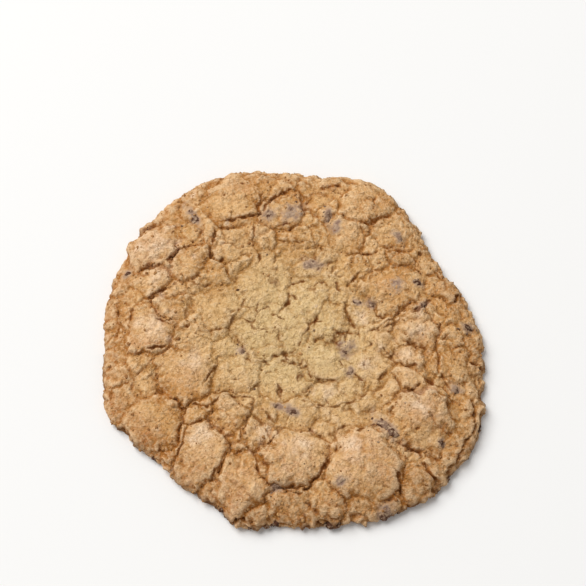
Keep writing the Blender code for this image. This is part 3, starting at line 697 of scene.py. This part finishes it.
# Each coat of colour lies over the ones before it: where it lies, by a measure of the crust or a
# speckle that goes from nothing to its full strength, how much of it the mottling leaves, and
# its colour.
COATS = (
    ("patches", 0.43, 0.60, 0.9, (1, 1), "#DFB27D"),
    ("patches", 0.50, 0.36, 0.9, (1, 1), "#C88F53"),
    ("share", 0.60, 0.20, 0.95, (1, 1), "#DBBC87"),
    # Painted highlight: the higher a plate stands, the paler it is painted.
    ("highlight_by_height", 0.45, 1.00, 0.65, (0.2, 1), "#DDB088"),
    # The browned rim, with painted shade towards its front left.
    ("browned_rim_and_side_shade", 0.0, 1.0, 0.90, (0.5, 1), "#A86634"),
    # Browned crust beside the cracks, partly painted shade in the valleys between the plates.
    ("valley_brown_and_shade", 0.0, 0.9, 0.56, (0.5, 1), "#A06B26"),
    # Browned crust in the clefts beside the cracks and tears, partly painted shade.
    ("cleft_brown_and_shade", 0.1, 1.0, 0.50, (0.5, 1), "#8C540C"),
    # Painted shade in the hollows of the crust.
    ("sunk", 0.05, 0.80, 0.55, (1, 1), "#955C10"),
    # Toasted crust towards the rim beside the cracks and tears, partly painted shade, and painted
    # shade in the hollows.
    ("toast_and_shade", 0.1, 1.0, 0.70, (0.6, 1), "#A0560D"),
    # Painted highlight on the ridges of the crust.
    ("sunk", -0.10, -0.80, 0.55, (1, 1), "#E8C8A0"),
    # Pale plate tops: dried sugar with a painted highlight.
    ("pale", 0.0, 1.0, 0.85, (0.5, 1), "#F2D4B4"),
    ("fleck", 0.47, 0.34, 0.40, (1, 1), "#AF834D"),
    ("fleck", 0.53, 0.66, 0.35, (1, 1), "#E6C699"),
    ("grain", 0.46, 0.30, 0.43, (1, 1), "#9A7444"),
    ("grain", 0.54, 0.70, 0.40, (1, 1), "#E6C89F"),
    ("crease", 0.52, 0.80, 0.36, (0.2, 1), "#8A6430"),
    ("hairline", 0.040, 0.015, 0.60, (0, 1), "#794D18"),
    ("smear", 0.0, 0.7, 0.80, (0.4, 1), "#B79C83"),
    ("smear", 0.6, 1.0, 0.85, (0.3, 1), "#86685A"),
    # The foot of the rim: scorched patches and a painted shadow along the bottom of the edge.
    ("scorch_and_shadow_at_foot", 0.0, 0.9, 0.85, (0.5, 1), "#5E3516"),
    ("pore", 0.2, 0.9, 0.65, (1, 1), "#6F4416"),
    ("crack", 0.15, 0.72, 0.92, (0.4, 1), "#673409"),
    ("under", 0.0, 1.0, 1.0, (1, 1), "#A9773F"),
)
colour = DOUGH
for measure, low, high, strength, (least, most), paint in COATS:
    if measure in speckles:
        where = speckles[measure]
    else:
        where = add_node(tree, "ShaderNodeAttribute", {}, attribute_name=measure).outputs["Fac"]
    coat = add_node(tree, "ShaderNodeMapRange", {0: where, 1: low, 2: high, 4: strength})
    if least != most:
        inputs = {0: speckles["mottle"], 1: 0.35, 2: 0.62, 3: least, 4: most}
        left = add_node(tree, "ShaderNodeMapRange", inputs)
        inputs = {0: coat.outputs[0], 1: left.outputs[0]}
        coat = add_node(tree, "ShaderNodeMath", inputs, operation="MULTIPLY")
    inputs = {0: coat.outputs[0], 6: colour, 7: linear(paint)}
    colour = add_node(tree, "ShaderNodeMix", inputs, data_type="RGBA").outputs[2]
tree.links.new(colour, shader.inputs["Base Color"])
shader.inputs["Roughness"].default_value = 0.85
shader.inputs["Specular IOR Level"].default_value = 0.12
inputs = {0: speckles["grain"], 1: speckles["crease"]}
packed = add_node(tree, "ShaderNodeMath", inputs, operation="SUBTRACT").outputs[0]
inputs = {"Height": packed, "Distance": 0.22 * MM, "Strength": 0.9}
sandy = add_node(tree, "ShaderNodeBump", inputs).outputs[0]
tree.links.new(sandy, shader.inputs["Normal"])
crust.data.materials.append(dough)

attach(crust, "root")
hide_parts("cookie")


# The chocolate: bits of dark chocolate that were broken small and stirred into the dough. They
# lie level with the crust, where they melted, set again dull and took a grey bloom.

CHIP_THICKNESS = 2.2 * MM
CHIP_STANDS_PROUD = 0.20 * MM
CHIP_SQUARENESS = 2.6
CHIP_UNEVENNESS = ((0.55 * MM, 1.6 * MM, 91), (0.40 * MM, 0.7 * MM, 95))
CHIP_SLICES, SPECK_SLICES = 4, 2
# Chocolate crumbs lie round the bits.
SPECK_COUNT, SPECK_SEED = 60, 92
SPECK_RADIUS = (0.15 * MM, 0.45 * MM)
SPECK_BLOOM = 0.5
LUMP_SUNK = 0.45


def ball(slices):
    """A ball of radius 1 in even triangles: its corners and faces."""
    mesh = bmesh.new()
    bmesh.ops.create_icosphere(mesh, subdivisions=slices, radius=1)
    mesh.verts.index_update()
    corners = np.array([corner.co for corner in mesh.verts])
    faces = np.array([[corner.index for corner in face.verts] for face in mesh.faces])
    mesh.free()
    return corners, faces


def strewn(count, radii, weights, seed):
    """Lumps of random shape and turn strewn over the crust, half sunk in it: their corners, faces
    and a random tone for each lump, held at its corners.
    """
    draw = np.random.default_rng(seed)
    at = draw.choice(len(points), count, p=weights / weights.sum())
    radius = radii[0] + (radii[1] - radii[0]) * draw.uniform(size=count) ** 2
    turns = np.linalg.qr(draw.normal(size=(count, 3, 3)))[0]
    turns *= np.linalg.det(turns)[:, None, None]
    corners, faces = ball(SPECK_SLICES)
    corners = corners * draw.uniform(0.65, 1.15, (count, 1, 3))
    corners = corners * (1 + 0.15 * draw.normal(size=(count, corners.shape[1], 1)))
    corners = (corners * radius[:, None, None]) @ turns
    corners = corners + (points[at] - LUMP_SUNK * radius[:, None] * facing[at])[:, None]
    corners[:, :, 2] = corners[:, :, 2].clip(0)
    starts = np.arange(count)[:, None, None] * corners.shape[1]
    tones = np.repeat(draw.uniform(size=count), corners.shape[1])
    return corners.reshape(-1, 3), (faces + starts).reshape(-1, 3), tones


ball_corners, ball_faces = ball(CHIP_SLICES)
squared = (np.abs(ball_corners) ** CHIP_SQUARENESS).sum(axis=1) ** (1 / CHIP_SQUARENESS)
ball_corners = ball_corners / squared[:, None]
# Melting left the tops flatter than the sides, by this share.
TOP_UNEVENNESS = 0.3
uneven_ways = ball_corners * (1, 1, TOP_UNEVENNESS)
chip_corners, chip_faces, chip_tones = [], [], []
near_chip = np.zeros(len(points))
top = facing[:, 2] > 0.5
for chip_x, chip_y, length, width, turn, bloom in CHIPS_MM:
    away = points[:, :2] - (np.array([chip_x, chip_y]) * MM - middle[:2])
    beside = top & (np.hypot(*away.T) < 0.6 * length * MM)
    # The crust's own slope, fitted under the bit, tips the bit with it.
    level = np.column_stack([away[beside], np.ones(beside.sum())])
    slope_x, slope_y, height_here = np.linalg.lstsq(level, points[beside, 2], rcond=None)[0]
    bit = ball_corners * (np.array([length * MM, width * MM, CHIP_THICKNESS]) / 2)
    for uneven, size, seed in CHIP_UNEVENNESS:
        bit = bit + uneven * uneven_ways * noise(bit + chip_x * MM, size, seed)[:, None]
    bit = bit @ np.array(Matrix.Rotation(-math.radians(turn), 3, "Z"))
    bit[:, 2] += height_here + slope_x * bit[:, 0] + slope_y * bit[:, 1]
    bit[:, 2] += CHIP_STANDS_PROUD - CHIP_THICKNESS / 2
    bit[:, :2] += np.array([chip_x, chip_y]) * MM - middle[:2]
    chip_faces.append(ball_faces + len(chip_corners) * len(ball_corners))
    chip_corners.append(bit)
    chip_tones.append(np.full(len(bit), bloom))
    near_chip = np.maximum(near_chip, bump(0.75 * length * MM, np.hypot(*away.T)))
LEAST_SPECKS = 0.006
speck_weights = top * (LEAST_SPECKS + near_chip)
# Some stick out from under the front edge, in these directions, in degrees.
FOOT_SPOTS = (221, 249, 257, 263, 264, 265, 281, 282, 299, 317, 325, 334)
FOOT_COUNT, FOOT_RADIUS, FOOT_SEED = 110, (0.3 * MM, 0.9 * MM), 96
FOOT_HEIGHT, FOOT_HALF_HEIGHT, FOOT_SPREAD = 1.1 * MM, 0.5 * MM, math.radians(1.2)
at_foot = bump(FOOT_HALF_HEIGHT, points[:, 2] - FOOT_HEIGHT) * (facing[:, 2] > -0.8)
foot_weights = sum(bump(FOOT_SPREAD, angle - math.radians(spot)) for spot in FOOT_SPOTS) * at_foot
for count, radii, weights, seed in (
    (SPECK_COUNT, SPECK_RADIUS, speck_weights, SPECK_SEED),
    (FOOT_COUNT, FOOT_RADIUS, foot_weights, FOOT_SEED),
):
    speck_corners, speck_faces, speck_tones = strewn(count, radii, weights, seed)
    chip_faces.append(speck_faces + sum(map(len, chip_corners)))
    chip_corners.append(speck_corners)
    chip_tones.append(speck_tones * SPECK_BLOOM)
chocolate = add_piece("chocolate_bits", np.concatenate(chip_corners), np.concatenate(chip_faces), {
    "tone": np.concatenate(chip_tones),
})

# Dark chocolate that melted and set again without tempering: dull, with a grey bloom of cocoa
# butter in blotches and a film of dough at its edges.
BLOTCH_SIZE, FILM_SIZE = 1.5 * MM, 0.7 * MM
bloomed = bpy.data.materials.new("bloomed_dark_chocolate")
bloomed.use_nodes = True
tree = bloomed.node_tree
shader = tree.nodes["Principled BSDF"]
place = add_node(tree, "ShaderNodeTexCoord", {}).outputs["Object"]
inputs = {"Vector": place, "Scale": 1 / BLOTCH_SIZE, "Detail": 4.0}
blotches = add_node(tree, "ShaderNodeTexNoise", inputs).outputs[0]
inputs = {"Vector": place, "Scale": 1 / FILM_SIZE, "Detail": 3.0}
film = add_node(tree, "ShaderNodeTexNoise", inputs).outputs[0]
tone = add_node(tree, "ShaderNodeAttribute", {}, attribute_name="tone").outputs["Fac"]
inputs = {0: tone, 1: 0.0, 2: 1.0, 3: -0.20, 4: 0.14}
shift = add_node(tree, "ShaderNodeMapRange", inputs).outputs[0]
shifted = add_node(tree, "ShaderNodeMath", {0: blotches, 1: shift}, operation="ADD").outputs[0]
share_of_bloom = add_node(tree, "ShaderNodeMapRange", {0: shifted, 1: 0.36, 2: 0.64}).outputs[0]
inputs = {0: share_of_bloom, 6: linear("#50301F"), 7: linear("#AA8D75")}
colour = add_node(tree, "ShaderNodeMix", inputs, data_type="RGBA").outputs[2]
share_of_film = add_node(tree, "ShaderNodeMapRange", {0: film, 1: 0.50, 2: 0.68, 4: 0.75}).outputs[0]
inputs = {0: share_of_film, 6: colour, 7: linear("#C9AC8C")}
colour = add_node(tree, "ShaderNodeMix", inputs, data_type="RGBA").outputs[2]
tree.links.new(colour, shader.inputs["Base Color"])
shader.inputs["Roughness"].default_value = 0.7
shader.inputs["Specular IOR Level"].default_value = 0.12
inputs = {"Height": film, "Distance": 0.10 * MM, "Strength": 0.6}
pitted = add_node(tree, "ShaderNodeBump", inputs).outputs[0]
tree.links.new(pitted, shader.inputs["Normal"])
chocolate.data.materials.append(bloomed)

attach(chocolate, "root")
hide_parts("cookie")


# The crumbs: dry bits of crust that broke off as the plates pulled apart and stuck in the cracks
# and along the rim.

CRUMB_COUNT, CRUMB_SEED = 1500, 94
CRUMB_RADIUS = (0.15 * MM, 0.55 * MM)
# They lie thickest beside the cracks and on the rim, and thin out towards the middle.
BESIDE_CRACKS, LEAST_CRUMBS, RIM_CRUMBS = 1.6 * MM, 0.12, 0.5
crumb_weights = LEAST_CRUMBS + bump(BESIDE_CRACKS, gap) * boldness + RIM_CRUMBS * rim
crumb_weights = crumb_weights * (tilt < 0.55 * math.pi)
crumb_weights = crumb_weights * (0.12 + 0.88 * smooth_step(0.35, 0.60, share))
crumb_corners, crumb_faces, tones = strewn(CRUMB_COUNT, CRUMB_RADIUS, crumb_weights, CRUMB_SEED)
crumbs = add_piece("crust_crumbs", crumb_corners, crumb_faces, {"tone": tones})

# Broken biscuit crust: as matt and sandy as the whole crust, each crumb in a brown of its own.
crumb_crust = bpy.data.materials.new("broken_biscuit_crust")
crumb_crust.use_nodes = True
tree = crumb_crust.node_tree
shader = tree.nodes["Principled BSDF"]
place = add_node(tree, "ShaderNodeTexCoord", {}).outputs["Object"]
inputs = {"Vector": place, "Scale": 1 / GRAIN_SIZE, "Detail": 3.0}
grain = add_node(tree, "ShaderNodeTexNoise", inputs).outputs[0]
tone = add_node(tree, "ShaderNodeAttribute", {}, attribute_name="tone").outputs["Fac"]
inputs = {0: tone, 6: linear("#94643A"), 7: linear("#C69762")}
colour = add_node(tree, "ShaderNodeMix", inputs, data_type="RGBA").outputs[2]
darker = add_node(tree, "ShaderNodeMapRange", {0: grain, 1: 0.5, 2: 0.32, 4: 0.6}).outputs[0]
inputs = {0: darker, 6: colour, 7: linear("#8A5C30")}
colour = add_node(tree, "ShaderNodeMix", inputs, data_type="RGBA").outputs[2]
tree.links.new(colour, shader.inputs["Base Color"])
shader.inputs["Roughness"].default_value = 0.85
shader.inputs["Specular IOR Level"].default_value = 0.12
inputs = {"Height": grain, "Distance": 0.22 * MM, "Strength": 0.9}
sandy = add_node(tree, "ShaderNodeBump", inputs).outputs[0]
tree.links.new(sandy, shader.inputs["Normal"])
crumbs.data.materials.append(crumb_crust)

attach(crumbs, "root")
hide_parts("cookie")


# The table: a plain, pale, matt top that the cookie lies on. It is one flat board, painted white,
# and wide enough to fill the camera's picture.

TABLE_SIZE = 3.0
TABLE_DROP = 0.02 * MM
table_mesh = bpy.data.meshes.new("table")
half = TABLE_SIZE / 2
table_corners = [(-half, -half, 0), (half, -half, 0), (half, half, 0), (-half, half, 0)]
table_mesh.from_pydata(table_corners, [], [(0, 1, 2, 3)])
table = bpy.data.objects.new("table", table_mesh)
bpy.context.scene.collection.objects.link(table)
table_paint = bpy.data.materials.new("white_matt_paint")
table_paint.use_nodes = True
table_paint.node_tree.nodes["Principled BSDF"].inputs["Base Color"].default_value = linear("#F2F1EF")
table_paint.node_tree.nodes["Principled BSDF"].inputs["Roughness"].default_value = 0.9
table_mesh.materials.append(table_paint)
table.location.z = -TABLE_DROP


# The light: a large soft lamp above and behind to the left, which shows the plates by their
# shadows, and a white room all round, which fills those.

KEY_AT = Vector((-1.12, 0.95, 1.88))
KEY_SIZE = 1.7
KEY_POWER = 58
ROOM_STRENGTH = 0.38

key_light = bpy.data.lights.new("key", "AREA")
key_light.size = KEY_SIZE
key_light.energy = KEY_POWER
key = bpy.data.objects.new("key", key_light)
key.location = KEY_AT
key.rotation_euler = (-KEY_AT).to_track_quat("-Z", "Y").to_euler()
bpy.context.scene.collection.objects.link(key)

room = bpy.data.worlds.new("room")
room.use_nodes = True
room.node_tree.nodes["Background"].inputs["Color"].default_value = linear("#FFFFFF")
room.node_tree.nodes["Background"].inputs["Strength"].default_value = ROOM_STRENGTH
bpy.context.scene.world = room
bpy.context.scene.view_settings.view_transform = "Standard"


# The camera: held over the near edge, looking down at the cookie.

CAMERA_LENS = 74.7
CAMERA_ELEVATION = math.radians(69)
CAMERA_DISTANCE = 0.300
AIM = Vector((0.0, 0.0111, 0.006))

camera_data = bpy.data.cameras.new("camera")
camera_data.lens = CAMERA_LENS
camera_data.sensor_width = 36
camera = bpy.data.objects.new("camera", camera_data)
back = Vector((0, -math.cos(CAMERA_ELEVATION), math.sin(CAMERA_ELEVATION)))
camera.location = AIM + CAMERA_DISTANCE * back
camera.rotation_euler = (-back).to_track_quat("-Z", "Y").to_euler()
bpy.context.scene.collection.objects.link(camera)
bpy.context.scene.camera = camera
